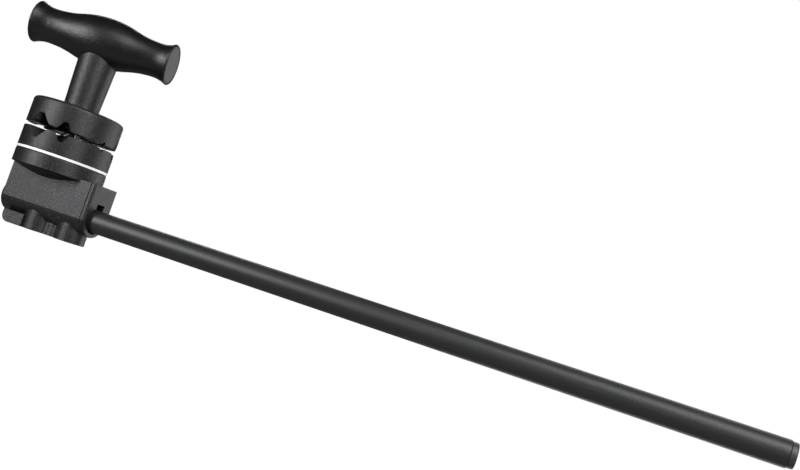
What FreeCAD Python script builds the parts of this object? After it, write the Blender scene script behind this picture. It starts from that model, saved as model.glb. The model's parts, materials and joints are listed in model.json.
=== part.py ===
"""Extension grip arm with a 2.5-inch grip head, as a parametric FreeCAD document.

The origin is on the arm's axis where the arm leaves the head. +X runs along the arm to its free
end, +Z runs along the clamping stud towards the T-handle. Millimetres and degrees throughout.
Heights are measured from the arm's axis. Distances along the barrel are measured from the stud.
"""
import FreeCAD, Part
import math
import os
import Sketcher

Vector = FreeCAD.Vector

doc = FreeCAD.newDocument("grip_arm")

# ---------------------------------------------------------------- driving dimensions
sizes = doc.addObject("Spreadsheet::Sheet", "Sizes")

DIMENSIONS = {
    # where things are
    "stud_x": -43.0,
    "handle_yaw": 17.6,
    "handle_height": 123.0,
    # arm
    "tube_radius": 8.0,
    "tube_wall": 2.0,
    "tube_inner_end": -12.8,
    "tube_outer_end": 506.0,
    "tube_chamfer": 0.6,
    "tube_neck_radius": 7.5,
    "tube_neck_start": 38.0,
    "tube_neck_end": 40.0,
    "end_plug_radius": 7.45,
    "end_plug_length": 3.4,
    "end_plug_round": 1.0,
    "spigot_length": 14.0,
    "retainer_radius": 10.1,
    "retainer_thickness": 3.0,
    # body casting
    "body_half_width": 12.7,
    "body_left": -28.6,
    "body_right": 43.0,
    "body_top": 24.5,
    "crease_height": -1.4,
    "belly_centre": 1.0,
    "disc_radius": 31.75,
    "flange_root": 18.6,
    "flange_bottom": 23.2,
    "flange_top": 33.2,
    "flange_round": 1.2,
    "heel_bottom": -19.3,
    "heel_shelf": -10.7,
    "heel_left": -23.0,
    "heel_right": -5.5,
    "heel_half_width": 12.0,
    "heel_round": 5.5,
    "boss_top": -3.0,
    "boss_one_radius": 11.2,
    "boss_two_x": 14.0,
    "boss_two_radius": 6.3,
    "boss_three_x": 28.0,
    "boss_three_radius": 10.5,
    "boss_blend": 3.0,
    "inner_line_x": 38.8,
    "outer_line_x": 41.5,
    "collar_line_width": 0.5,
    "collar_line_depth": 0.5,
    "collar_round": 1.0,
    "left_round": 0.8,
    "bore_radius": 8.05,
    "mouth_radius": 9.1,
    "mouth_start": 37.0,
    "chamber_radius": 10.4,
    "chamber_end": -12.6,
    "key_half_width": 4.0,
    "key_top": 12.0,
    "socket_radius": 9.6,
    "socket_top": 13.0,
    "stud_hole_radius": 5.2,
    "cap_inner_end": -22.0,
    "cap_outer_end": -30.9,
    "cap_radius": 11.6,
    "cap_round": 1.8,
    # clamping stud
    "eye_radius": 9.5,
    "eye_bottom": -17.6,
    "eye_top": 12.8,
    "eye_hole_radius": 8.08,
    "stud_radius": 4.7625,
    "stud_top": 106.0,
    "stud_chamfer": 0.8,
    # washer and jaws
    "washer_thickness": 1.7,
    "washer_hole_radius": 5.2,
    "lower_jaw_bottom": 34.9,
    "lower_jaw_height": 14.5,
    "jaw_gap": 2.9,
    "upper_jaw_height": 18.9,
    "upper_jaw_round": 2.8,
    "jaw_edge_round": 0.5,
    "jaw_bore_radius": 4.85,
    "spring_pocket_radius": 7.9,
    "spring_pocket_depth": 4.5,
    "groove_angle": -33.5,
    "large_groove_offset": 14.0,
    "large_groove_width": 14.6,
    "large_groove_floor": 3.8,
    "large_groove_depth": 7.2,
    "medium_groove_offset": 15.0,
    "medium_groove_width": 8.8,
    "medium_groove_floor": 2.8,
    "medium_groove_depth": 5.5,
    "small_groove_offset": 13.5,
    "small_groove_width": 4.0,
    "small_groove_floor": 0.8,
    "small_groove_depth": 2.0,
    "back_groove_offset": 14.0,
    "back_groove_width": 7.0,
    "back_groove_floor": 2.0,
    "back_groove_depth": 4.0,
    "pin_circle_radius": 25.0,
    "pin_turn": -10.0,
    "pin_radius": 2.0,
    "pin_slide_radius": 2.06,
    "pin_seat_depth": 8.0,
    "pin_reach": 13.0,
    "pin_hole_depth": 16.2,
    # spring between the jaws
    "spring_mean_radius": 6.9,
    "spring_wire_radius": 0.6,
    "spring_turns": 5.0,
    # thrust bearing
    "bearing_pocket_radius": 10.6,
    "bearing_pocket_depth": 5.0,
    "race_radius": 10.4,
    "race_bore_radius": 5.0,
    "race_thickness": 1.0,
    "needle_radius": 0.98,
    "needle_length": 3.8,
    "needle_inner": 6.0,
    "cage_bore_radius": 5.4,
    "cage_radius": 10.2,
    "cage_thickness": 1.5,
    "roller_space": 2.0,
    # handle
    "stem_gap": 0.3,
    "stem_bottom_radius": 12.3,
    "stem_top_radius": 13.9,
    "stem_top": 112.0,
    "hub_boss_radius": 10.1,
    "bar_radius": 8.0,
    "insert_radius": 7.5,
    "insert_bottom": 76.0,
    "insert_top": 104.0,
    "thread_clearance_radius": 4.8,
    "hub_bore_radius": 5.0,
    "hub_bore_top": 112.0,
    "grip_half_length": 51.2,
    "grip_end_radius": 15.8,
    "grip_neck_radius": 12.5,
    "grip_neck_x": 39.5,
    "grip_crown_radius": 18.2,
    "grip_end_round": 1.2,
    "grip_cap_radius": 13.3,
    "grip_cap_recess": 0.4,
    "grip_cap_thickness": 2.2,
}
NEEDLES = 16
OVERSHOOT = 1.0

for row, (alias, value) in enumerate(DIMENSIONS.items(), start=1):
    sizes.set(f"A{row}", alias.replace("_", " "))
    sizes.set(f"B{row}", str(value))
    sizes.setAlias(f"B{row}", alias)
doc.recompute()


# ---------------------------------------------------------------- small helpers
def origin_feature(body, role):
    """One of the body's own origin planes or axes, such as XZ_Plane."""
    return next(item for item in body.Origin.OriginFeatures if item.Role == role)


def new_body(label, x="0", y="0", z="0", yaw="0"):
    """A PartDesign body with its own label and a placement bound to the sheet."""
    body = doc.addObject("PartDesign::Body", label)
    body.Label = label
    place(body, x, y, z, yaw)
    return body


def place(item, x="0", y="0", z="0", yaw="0"):
    """Bind a placement: a position, and a turn about the vertical."""
    angle = float(item.evalExpression(yaw))
    item.Placement = FreeCAD.Placement(Vector(0, 0, 0), FreeCAD.Rotation(Vector(0, 0, 1), angle))
    for axis, distance in zip("xyz", (x, y, z)):
        item.setExpression(f"Placement.Base.{axis}", distance)


def new_sketch(body, name, role, height="0", turn="0"):
    """A sketch on an origin plane, lifted off it by height and turned about its own upright."""
    sketch = body.newObject("Sketcher::SketchObject", name)
    sketch.AttachmentSupport = [(origin_feature(body, role), "")]
    sketch.MapMode = "FlatFace"
    angle = float(sketch.evalExpression(turn))
    sketch.AttachmentOffset = FreeCAD.Placement(Vector(0, 0, 0), FreeCAD.Rotation(Vector(0, 1, 0), angle))
    sketch.setExpression("AttachmentOffset.Base.z", height)
    return sketch


def fix_point(sketch, geometry, point, x=None, y=None):
    """Hold one point of a sketch at distances from the sketch's origin that follow the sheet."""
    for kind, expression in (("DistanceX", x), ("DistanceY", y)):
        if expression is None:
            continue
        value = float(sketch.evalExpression(expression))
        index = sketch.addConstraint(Sketcher.Constraint(kind, -1, 1, geometry, point, value))
        sketch.setExpression(f"Constraints[{index}]", expression)


def draw_outline(sketch, corners):
    """A closed outline of straight lines through corners, each a pair of expressions."""
    points = [Vector(float(sketch.evalExpression(x)), float(sketch.evalExpression(y)), 0)
              for x, y in corners]
    first = sketch.GeometryCount
    for start, end in zip(points, points[1:] + points[:1]):
        sketch.addGeometry(Part.LineSegment(start, end))
    for step in range(len(points)):
        following = (step + 1) % len(points)
        sketch.addConstraint(Sketcher.Constraint("Coincident", first + step, 2, first + following, 1))
    for step, (x, y) in enumerate(corners):
        fix_point(sketch, first + step, 1, x, y)


def fix_radius(sketch, geometry, radius):
    """Hold the radius of a circle or an arc to the sheet."""
    size = float(sketch.evalExpression(radius))
    index = sketch.addConstraint(Sketcher.Constraint("Radius", geometry, size))
    sketch.setExpression(f"Constraints[{index}]", radius)


def draw_circle(sketch, radius, x="0", y="0"):
    """A circle whose radius and centre follow the sheet."""
    size = float(sketch.evalExpression(radius))
    centre = Vector(float(sketch.evalExpression(x)), float(sketch.evalExpression(y)), 0)
    circle = sketch.addGeometry(Part.Circle(centre, Vector(0, 0, 1), size))
    fix_radius(sketch, circle, radius)
    fix_point(sketch, circle, 3, x, y)


def draw_arc(sketch, centre, start, end):
    """A counter-clockwise arc about centre from start to end, and its number in the sketch."""
    radius = (start - centre).Length
    from_angle = math.atan2(start.y - centre.y, start.x - centre.x)
    to_angle = math.atan2(end.y - centre.y, end.x - centre.x)
    if to_angle < from_angle:
        to_angle += 2 * math.pi
    circle = Part.Circle(centre, Vector(0, 0, 1), radius)
    return sketch.addGeometry(Part.ArcOfCircle(circle, from_angle, to_angle))


def pad(body, sketch, length):
    """Grow a sketch into a solid along its normal."""
    feature = body.newObject("PartDesign::Pad", f"{sketch.Name}_pad")
    feature.Profile = sketch
    feature.setExpression("Length", length)
    doc.recompute()
    return feature


def revolve(body, sketch, axis):
    """Turn a sketch about one of its own axes, V_Axis or H_Axis, into a solid."""
    feature = body.newObject("PartDesign::Revolution", f"{sketch.Name}_turn")
    feature.Profile = sketch
    feature.ReferenceAxis = (sketch, [axis])
    feature.Angle = 360
    doc.recompute()
    return feature


def cut(body, kind, sketch, settings):
    """A Pocket or Groove, refused if it takes nothing away."""
    before = body.Shape.Volume
    feature = body.newObject(f"PartDesign::{kind}", f"{sketch.Name}_cut")
    feature.Profile = sketch
    for name, value in settings.items():
        setattr(feature, name, value)
    doc.recompute()
    if body.Shape.Volume >= before - 1e-3:
        raise RuntimeError(f"{feature.Name} in {body.Label} cuts nothing")
    return feature


def cut_turned(body, sketch, axis):
    """Cut away a sketch turned about one of its own axes."""
    return cut(body, "Groove", sketch, {"ReferenceAxis": (sketch, [axis]), "Angle": 360})


def cut_through(body, sketch):
    """Cut a sketch through the whole body, both ways."""
    return cut(body, "Pocket", sketch, {"Type": "ThroughAll", "SideType": "Symmetric"})


def cut_depth(body, sketch, depth, away_from_normal):
    """Cut a sketch into the body to a depth that follows the sheet."""
    length = float(sketch.evalExpression(depth))
    settings = {"Type": "Length", "Length": length, "Reversed": not away_from_normal}
    feature = cut(body, "Pocket", sketch, settings)
    feature.setExpression("Length", depth)
    return feature


def round_edges(body, kind, size, is_wanted):
    """A Fillet or Chamfer on every edge of the body that is_wanted says yes to."""
    base = body.Tip
    names = [f"Edge{number}" for number, edge in enumerate(base.Shape.Edges, start=1) if is_wanted(edge)]
    if not names:
        raise RuntimeError(f"no edges to {kind.lower()} in {body.Label}")
    feature = body.newObject(f"PartDesign::{kind}", f"{body.Name}_{kind}")
    feature.Base = (base, names)
    feature.setExpression("Radius" if kind == "Fillet" else "Size", size)
    doc.recompute()
    return feature


def value_of(alias):
    """The number in the sheet's cell of this name."""
    return float(sizes.get(alias))


def is_circle(edge, radius, axis, height):
    """Whether an edge is a full circle of this radius, at this place along an axis of x or z."""
    if not isinstance(edge.Curve, Part.Circle) or abs(edge.Curve.Radius - radius) > 1e-3:
        return False
    return abs(getattr(edge.Curve.Center, axis) - height) < 1e-3


def lies_at(edge, axis, place_along):
    """Whether both the middle and the ends of an edge are at this place along an axis."""
    box = edge.BoundBox
    low, high = (box.XMin, box.XMax) if axis == "x" else (box.ZMin, box.ZMax)
    return abs(low - place_along) < 1e-3 and abs(high - place_along) < 1e-3


# ---------------------------------------------------------------- arm
def make_arm_tube():
    """The round steel tube, with a turned neck inside the head's mouth and a chamfered free end."""
    body = new_body("arm_tube", x="Sizes.stud_x")
    profile = new_sketch(body, "tube_profile", "XZ_Plane")
    bore = "Sizes.tube_radius - Sizes.tube_wall"
    draw_outline(profile, [
        ("Sizes.tube_inner_end", bore),
        ("Sizes.tube_outer_end", bore),
        ("Sizes.tube_outer_end", "Sizes.tube_radius"),
        ("Sizes.tube_neck_end", "Sizes.tube_radius"),
        ("Sizes.tube_neck_end", "Sizes.tube_neck_radius"),
        ("Sizes.tube_neck_start", "Sizes.tube_neck_radius"),
        ("Sizes.tube_neck_start", "Sizes.tube_radius"),
        ("Sizes.tube_inner_end", "Sizes.tube_radius"),
    ])
    revolve(body, profile, "H_Axis")
    radius = value_of("tube_radius")
    end = value_of("tube_outer_end")
    round_edges(body, "Chamfer", "Sizes.tube_chamfer", lambda edge: is_circle(edge, radius, "x", end))
    return body


def make_arm_end_plug():
    """The plug in the free end: a spigot in the tube and a slightly smaller rounded head."""
    body = new_body("arm_end_plug", x="Sizes.stud_x + Sizes.tube_outer_end")
    profile = new_sketch(body, "plug_profile", "XZ_Plane")
    spigot = "Sizes.tube_radius - Sizes.tube_wall"
    draw_outline(profile, [
        ("-Sizes.spigot_length", "0"),
        ("Sizes.end_plug_length", "0"),
        ("Sizes.end_plug_length", "Sizes.end_plug_radius"),
        ("0", "Sizes.end_plug_radius"),
        ("0", spigot),
        ("-Sizes.spigot_length", spigot),
    ])
    revolve(body, profile, "H_Axis")
    radius = value_of("end_plug_radius")
    length = value_of("end_plug_length")
    round_edges(body, "Fillet", "Sizes.end_plug_round", lambda edge: is_circle(edge, radius, "x", length))
    return body


def make_arm_retainer():
    """The flanged plug in the inner end, wider than the bore, so that the arm can't pull out."""
    body = new_body("arm_retainer", x="Sizes.stud_x + Sizes.tube_inner_end")
    profile = new_sketch(body, "retainer_profile", "XZ_Plane")
    spigot = "Sizes.tube_radius - Sizes.tube_wall"
    draw_outline(profile, [
        ("-Sizes.retainer_thickness", "0"),
        ("Sizes.spigot_length", "0"),
        ("Sizes.spigot_length", spigot),
        ("0", spigot),
        ("0", "Sizes.retainer_radius"),
        ("-Sizes.retainer_thickness", "Sizes.retainer_radius"),
    ])
    revolve(body, profile, "H_Axis")
    return body


# ---------------------------------------------------------------- head body
def draw_barrel_section(sketch, spread, top):
    """The barrel's section: flat sides, and a belly that meets them at a slight crease.

    spread moves the whole section outwards, or inwards where it is negative.
    """
    half = f"Sizes.body_half_width + {spread}"
    half_width = float(sketch.evalExpression(half))
    crease = value_of("crease_height")
    roof = float(sketch.evalExpression(top))
    centre = Vector(0, value_of("belly_centre"), 0)
    left = Vector(-half_width, crease, 0)
    right = Vector(half_width, crease, 0)
    belly = draw_arc(sketch, centre, left, right)
    right_side = sketch.addGeometry(Part.LineSegment(right, Vector(half_width, roof, 0)))
    lid = sketch.addGeometry(Part.LineSegment(Vector(half_width, roof, 0), Vector(-half_width, roof, 0)))
    left_side = sketch.addGeometry(Part.LineSegment(Vector(-half_width, roof, 0), left))
    for one, end, other, start in ((belly, 2, right_side, 1), (right_side, 2, lid, 1),
                                   (lid, 2, left_side, 1), (left_side, 2, belly, 1)):
        sketch.addConstraint(Sketcher.Constraint("Coincident", one, end, other, start))
    fix_point(sketch, right_side, 1, half, "Sizes.crease_height")
    fix_point(sketch, right_side, 2, half, top)
    fix_point(sketch, left_side, 1, f"-({half})", top)
    fix_point(sketch, left_side, 2, f"-({half})", "Sizes.crease_height")
    fix_point(sketch, belly, 3, None, "Sizes.belly_centre")


def draw_heel_bosses(sketch):
    """Three round bosses in a row, joined by hollows that touch each pair of neighbours."""
    blend = value_of("boss_blend")
    bosses = [(Vector(0, 0, 0), value_of("boss_one_radius")),
              (Vector(value_of("boss_two_x"), 0, 0), value_of("boss_two_radius")),
              (Vector(value_of("boss_three_x"), 0, 0), value_of("boss_three_radius"))]
    hollows = []
    for (left, left_radius), (right, right_radius) in zip(bosses, bosses[1:]):
        span = right.x - left.x
        along = (span ** 2 + (left_radius + blend) ** 2 - (right_radius + blend) ** 2) / (2 * span)
        hollows.append(left + Vector(along, math.sqrt((left_radius + blend) ** 2 - along ** 2), 0))

    def touch(boss, hollow, side):
        """Where a boss meets a hollow, above the row of bosses or, for side -1, below it."""
        centre, radius = bosses[boss]
        point = centre + (hollows[hollow] - centre) * (radius / (radius + blend))
        return Vector(point.x, side * point.y, 0)

    one = draw_arc(sketch, bosses[0][0], touch(0, 0, 1), touch(0, 0, -1))
    three = draw_arc(sketch, bosses[2][0], touch(2, 1, -1), touch(2, 1, 1))
    for side in (1, -1):
        arcs = [(Vector(hollows[0].x, side * hollows[0].y, 0), touch(0, 0, side), touch(1, 0, side)),
                (bosses[1][0], touch(1, 1, side), touch(1, 0, side)),
                (Vector(hollows[1].x, side * hollows[1].y, 0), touch(1, 1, side), touch(2, 1, side))]
        first, two, last = [draw_arc(sketch, centre, *ends[::side]) for centre, *ends in arcs]
        start, end = (1, 2) if side == 1 else (2, 1)
        for arc, arc_end, other, other_end in ((one, start, first, start), (first, end, two, end),
                                               (two, start, last, start), (last, end, three, end)):
            sketch.addConstraint(Sketcher.Constraint("Tangent", arc, arc_end, other, other_end))
        fix_radius(sketch, first, "Sizes.boss_blend")
        fix_radius(sketch, two, "Sizes.boss_two_radius")
        fix_radius(sketch, last, "Sizes.boss_blend")
        fix_point(sketch, two, 3, "Sizes.boss_two_x", "0")
    fix_radius(sketch, one, "Sizes.boss_one_radius")
    fix_radius(sketch, three, "Sizes.boss_three_radius")
    fix_point(sketch, one, 3, "0", "0")
    fix_point(sketch, three, 3, "Sizes.boss_three_x", "0")


def make_body_casting():
    """The cast body: barrel round the arm, flange under the jaws, heel under the barrel."""
    body = new_body("body_casting", x="Sizes.stud_x")

    barrel = new_sketch(body, "barrel_section", "YZ_Plane", "Sizes.body_left")
    draw_barrel_section(barrel, "0", "Sizes.body_top")
    pad(body, barrel, "Sizes.body_right - Sizes.body_left")

    right_end = value_of("body_right")
    left_end = value_of("body_left")
    roof = value_of("body_top")
    round_edges(body, "Fillet", "Sizes.collar_round",
                lambda edge: lies_at(edge, "x", right_end) and not lies_at(edge, "z", roof))
    round_edges(body, "Fillet", "Sizes.left_round",
                lambda edge: lies_at(edge, "x", left_end) and not lies_at(edge, "z", roof))

    flange = new_sketch(body, "flange_profile", "XZ_Plane")
    draw_outline(flange, [
        ("0", "Sizes.flange_root"),
        ("Sizes.body_half_width", "Sizes.flange_root"),
        ("Sizes.disc_radius", "Sizes.flange_bottom"),
        ("Sizes.disc_radius", "Sizes.flange_top"),
        ("0", "Sizes.flange_top"),
    ])
    revolve(body, flange, "V_Axis")
    rim_radius = value_of("disc_radius")
    rim_top = value_of("flange_top")
    round_edges(body, "Fillet", "Sizes.flange_round", lambda edge: is_circle(edge, rim_radius, "z", rim_top))

    heel = new_sketch(body, "heel_pad", "XY_Plane", "Sizes.heel_bottom")
    draw_outline(heel, [
        ("Sizes.heel_left", "-Sizes.heel_half_width"),
        ("Sizes.heel_right", "-Sizes.heel_half_width"),
        ("Sizes.heel_right", "Sizes.heel_half_width"),
        ("Sizes.heel_left", "Sizes.heel_half_width"),
    ])
    pad(body, heel, "Sizes.heel_shelf - Sizes.heel_bottom")
    heel_left = value_of("heel_left")
    heel_bottom = value_of("heel_bottom")
    round_edges(body, "Fillet", "Sizes.heel_round",
                lambda edge: lies_at(edge, "x", heel_left) and lies_at(edge, "z", heel_bottom))

    bosses = new_sketch(body, "heel_bosses", "XY_Plane", "Sizes.heel_bottom")
    draw_heel_bosses(bosses)
    pad(body, bosses, "Sizes.boss_top - Sizes.heel_bottom")

    # the two thin lines that leave a bead between the barrel and its end face
    for side in ("inner", "outer"):
        line = new_sketch(body, f"{side}_collar_line", "YZ_Plane", f"Sizes.{side}_line_x")
        draw_barrel_section(line, f"{OVERSHOOT}", "Sizes.flange_top")
        draw_barrel_section(line, "-Sizes.collar_line_depth", f"Sizes.flange_top - {OVERSHOOT}")
        cut_depth(body, line, "Sizes.collar_line_width", away_from_normal=False)

    # stepped bore for the arm, with the chamber that the retainer turns in
    bore = new_sketch(body, "arm_bore", "XZ_Plane")
    draw_outline(bore, [
        (f"Sizes.body_left - {OVERSHOOT}", "0"),
        (f"Sizes.body_left - {OVERSHOOT}", "Sizes.chamber_radius"),
        ("Sizes.chamber_end", "Sizes.chamber_radius"),
        ("Sizes.chamber_end", "Sizes.bore_radius"),
        ("Sizes.mouth_start", "Sizes.bore_radius"),
        ("Sizes.mouth_start", "Sizes.mouth_radius"),
        (f"Sizes.body_right + {OVERSHOOT}", "Sizes.mouth_radius"),
        (f"Sizes.body_right + {OVERSHOOT}", "0"),
    ])
    cut_turned(body, bore, "H_Axis")

    # socket for the stud's eye, open at the heel, and the hole up through the flange
    socket = new_sketch(body, "stud_socket", "XZ_Plane")
    draw_outline(socket, [
        ("0", f"Sizes.heel_bottom - {OVERSHOOT}"),
        ("Sizes.socket_radius", f"Sizes.heel_bottom - {OVERSHOOT}"),
        ("Sizes.socket_radius", "Sizes.socket_top"),
        ("Sizes.stud_hole_radius", "Sizes.socket_top"),
        ("Sizes.stud_hole_radius", f"Sizes.flange_top + {OVERSHOOT}"),
        ("0", f"Sizes.flange_top + {OVERSHOOT}"),
    ])
    cut_turned(body, socket, "V_Axis")

    # key slot above the bore, from the end face to the stud's socket
    key = new_sketch(body, "key_slot", "YZ_Plane", f"Sizes.body_right + {OVERSHOOT}")
    draw_outline(key, [
        ("-Sizes.key_half_width", "0"),
        ("Sizes.key_half_width", "0"),
        ("Sizes.key_half_width", "Sizes.key_top"),
        ("-Sizes.key_half_width", "Sizes.key_top"),
    ])
    cut_depth(body, key, f"Sizes.body_right + {OVERSHOOT} - Sizes.stud_radius", away_from_normal=True)
    return body


def make_body_end_cap():
    """The round cap pressed into the barrel's blind end, with a rounded rim."""
    body = new_body("body_end_cap", x="Sizes.stud_x")
    profile = new_sketch(body, "cap_profile", "XZ_Plane")
    draw_outline(profile, [
        ("Sizes.cap_outer_end", "0"),
        ("Sizes.cap_inner_end", "0"),
        ("Sizes.cap_inner_end", "Sizes.chamber_radius"),
        ("Sizes.body_left", "Sizes.chamber_radius"),
        ("Sizes.body_left", "Sizes.cap_radius"),
        ("Sizes.cap_outer_end", "Sizes.cap_radius"),
    ])
    revolve(body, profile, "H_Axis")
    radius = value_of("cap_radius")
    outer = value_of("cap_outer_end")
    round_edges(body, "Fillet", "Sizes.cap_round", lambda edge: is_circle(edge, radius, "x", outer))
    return body


def make_eye_stud():
    """The clamping stud: a cross-drilled head round the arm, and a shank up to the handle."""
    body = new_body("eye_stud", x="Sizes.stud_x")
    profile = new_sketch(body, "stud_profile", "XZ_Plane")
    draw_outline(profile, [
        ("0", "Sizes.eye_bottom"),
        ("Sizes.eye_radius", "Sizes.eye_bottom"),
        ("Sizes.eye_radius", "Sizes.eye_top"),
        ("Sizes.stud_radius", "Sizes.eye_top"),
        ("Sizes.stud_radius", "Sizes.stud_top"),
        ("0", "Sizes.stud_top"),
    ])
    revolve(body, profile, "V_Axis")
    radius = value_of("stud_radius")
    top = value_of("stud_top")
    round_edges(body, "Chamfer", "Sizes.stud_chamfer", lambda edge: is_circle(edge, radius, "z", top))
    hole = new_sketch(body, "arm_hole", "YZ_Plane")
    draw_circle(hole, "Sizes.eye_hole_radius")
    cut_through(body, hole)
    return body


# ---------------------------------------------------------------- washer, jaws and spring
def make_friction_washer():
    """The thin friction disc between the body's flange and the lower jaw."""
    body = new_body("friction_washer", x="Sizes.stud_x", z="Sizes.flange_top")
    disc = new_sketch(body, "washer_disc", "XY_Plane")
    draw_circle(disc, "Sizes.disc_radius")
    draw_circle(disc, "Sizes.washer_hole_radius")
    pad(body, disc, "Sizes.washer_thickness")
    return body


def cut_jaw_grooves(body, face, into):
    """Four V-grooves round the stud in a square, in the face at height face.

    into is "-" where the jaw's metal is below that face, and "+" where it is above it.
    """
    outwards = "+" if into == "-" else "-"
    for turn, name in enumerate(("large", "medium", "back", "small")):
        size = f"Sizes.{name}_groove"
        groove = new_sketch(body, f"{body.Name}_{name}_groove", "XZ_Plane", "0",
                            f"Sizes.groove_angle - {90 * turn}")
        draw_outline(groove, [
            (f"{size}_offset - {size}_width / 2", f"{face} {outwards} {OVERSHOOT}"),
            (f"{size}_offset - {size}_width / 2", face),
            (f"{size}_offset - {size}_floor / 2", f"{face} {into} {size}_depth"),
            (f"{size}_offset + {size}_floor / 2", f"{face} {into} {size}_depth"),
            (f"{size}_offset + {size}_width / 2", face),
            (f"{size}_offset + {size}_width / 2", f"{face} {outwards} {OVERSHOOT}"),
        ])
        cut_through(body, groove)


def pin_centres():
    """The two pins' places in the jaws, opposite each other beyond the large and back grooves."""
    spots = {}
    for name, turn in (("front", 0), ("back", 180)):
        angle = f"(Sizes.groove_angle + Sizes.pin_turn + {turn}) * 1 deg"
        spots[name] = (f"Sizes.pin_circle_radius * cos({angle})", f"Sizes.pin_circle_radius * sin({angle})")
    return spots


def draw_pin_holes(sketch, radius):
    """A circle at each pin's place."""
    for x, y in pin_centres().values():
        draw_circle(sketch, radius, x, y)


def make_lower_jaw():
    """The lower grooved disc."""
    body = new_body("lower_jaw", x="Sizes.stud_x", z="Sizes.lower_jaw_bottom")
    height = value_of("lower_jaw_height")
    radius = value_of("disc_radius")
    disc = new_sketch(body, "lower_disc", "XY_Plane")
    draw_circle(disc, "Sizes.disc_radius")
    pad(body, disc, "Sizes.lower_jaw_height")
    round_edges(body, "Fillet", "Sizes.jaw_edge_round",
                lambda edge: is_circle(edge, radius, "z", 0) or is_circle(edge, radius, "z", height))
    cut_jaw_grooves(body, "Sizes.lower_jaw_height", "-")
    bore = new_sketch(body, "lower_bore", "XZ_Plane")
    draw_outline(bore, [
        ("0", f"-{OVERSHOOT}"),
        ("Sizes.jaw_bore_radius", f"-{OVERSHOOT}"),
        ("Sizes.jaw_bore_radius", "Sizes.lower_jaw_height - Sizes.spring_pocket_depth"),
        ("Sizes.spring_pocket_radius", "Sizes.lower_jaw_height - Sizes.spring_pocket_depth"),
        ("Sizes.spring_pocket_radius", f"Sizes.lower_jaw_height + {OVERSHOOT}"),
        ("0", f"Sizes.lower_jaw_height + {OVERSHOOT}"),
    ])
    cut_turned(body, bore, "V_Axis")
    pins = new_sketch(body, "lower_pin_holes", "XY_Plane", "Sizes.lower_jaw_height")
    draw_pin_holes(pins, "Sizes.pin_radius")
    cut_depth(body, pins, "Sizes.pin_seat_depth", away_from_normal=True)
    return body


def make_upper_jaw():
    """The upper grooved disc, with the bearing's pocket in its top."""
    body = new_body("upper_jaw", x="Sizes.stud_x",
                    z="Sizes.lower_jaw_bottom + Sizes.lower_jaw_height + Sizes.jaw_gap")
    height = value_of("upper_jaw_height")
    radius = value_of("disc_radius")
    disc = new_sketch(body, "upper_disc", "XY_Plane")
    draw_circle(disc, "Sizes.disc_radius")
    pad(body, disc, "Sizes.upper_jaw_height")
    round_edges(body, "Fillet", "Sizes.upper_jaw_round", lambda edge: is_circle(edge, radius, "z", height))
    round_edges(body, "Fillet", "Sizes.jaw_edge_round", lambda edge: is_circle(edge, radius, "z", 0))
    cut_jaw_grooves(body, "0", "+")
    bore = new_sketch(body, "upper_bore", "XZ_Plane")
    draw_outline(bore, [
        ("0", f"-{OVERSHOOT}"),
        ("Sizes.spring_pocket_radius", f"-{OVERSHOOT}"),
        ("Sizes.spring_pocket_radius", "Sizes.spring_pocket_depth"),
        ("Sizes.jaw_bore_radius", "Sizes.spring_pocket_depth"),
        ("Sizes.jaw_bore_radius", "Sizes.upper_jaw_height - Sizes.bearing_pocket_depth"),
        ("Sizes.bearing_pocket_radius", "Sizes.upper_jaw_height - Sizes.bearing_pocket_depth"),
        ("Sizes.bearing_pocket_radius", f"Sizes.upper_jaw_height + {OVERSHOOT}"),
        ("0", f"Sizes.upper_jaw_height + {OVERSHOOT}"),
    ])
    cut_turned(body, bore, "V_Axis")
    pins = new_sketch(body, "upper_pin_holes", "XY_Plane")
    draw_pin_holes(pins, "Sizes.pin_slide_radius")
    cut_depth(body, pins, "Sizes.pin_hole_depth", away_from_normal=False)
    return body


def make_alignment_pins():
    """Two dowels, tight in the lower jaw and sliding in the upper one."""
    pins = []
    for name, (x, y) in pin_centres().items():
        body = new_body(f"alignment_pin_{name}", x=f"Sizes.stud_x + {x}", y=y,
                        z="Sizes.lower_jaw_bottom + Sizes.lower_jaw_height - Sizes.pin_seat_depth")
        section = new_sketch(body, f"pin_{name}_section", "XY_Plane")
        draw_circle(section, "Sizes.pin_radius")
        pad(body, section, "Sizes.pin_seat_depth + Sizes.jaw_gap + Sizes.pin_reach")
        pins.append(body)
    return pins


def make_jaw_spring():
    """The coil spring round the stud, from one jaw's pocket to the other's."""
    free_height = "(2 * Sizes.spring_pocket_depth + Sizes.jaw_gap - 2 * Sizes.spring_wire_radius)"
    coil = doc.addObject("Part::Helix", "spring_coil")
    coil.setExpression("Radius", "Sizes.spring_mean_radius")
    coil.setExpression("Height", free_height)
    coil.setExpression("Pitch", f"{free_height} / Sizes.spring_turns")
    wire = doc.addObject("Part::Circle", "spring_wire")
    wire.Placement = FreeCAD.Placement(Vector(0, 0, 0), FreeCAD.Rotation(Vector(1, 0, 0), 90))
    wire.setExpression("Placement.Base.x", "Sizes.spring_mean_radius")
    wire.setExpression("Radius", "Sizes.spring_wire_radius")
    doc.recompute()
    spring = doc.addObject("Part::Sweep", "jaw_spring")
    spring.Label = "jaw_spring"
    spring.Sections = [wire]
    spring.Spine = (coil, ["Edge1"])
    spring.Solid = True
    spring.Frenet = True
    place(spring, "Sizes.stud_x", "0", "Sizes.lower_jaw_bottom + Sizes.lower_jaw_height"
          " - Sizes.spring_pocket_depth + Sizes.spring_wire_radius")
    return spring


# ---------------------------------------------------------------- thrust bearing
BEARING_FLOOR = ("Sizes.lower_jaw_bottom + Sizes.lower_jaw_height + Sizes.jaw_gap"
                 " + Sizes.upper_jaw_height - Sizes.bearing_pocket_depth")


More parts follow.
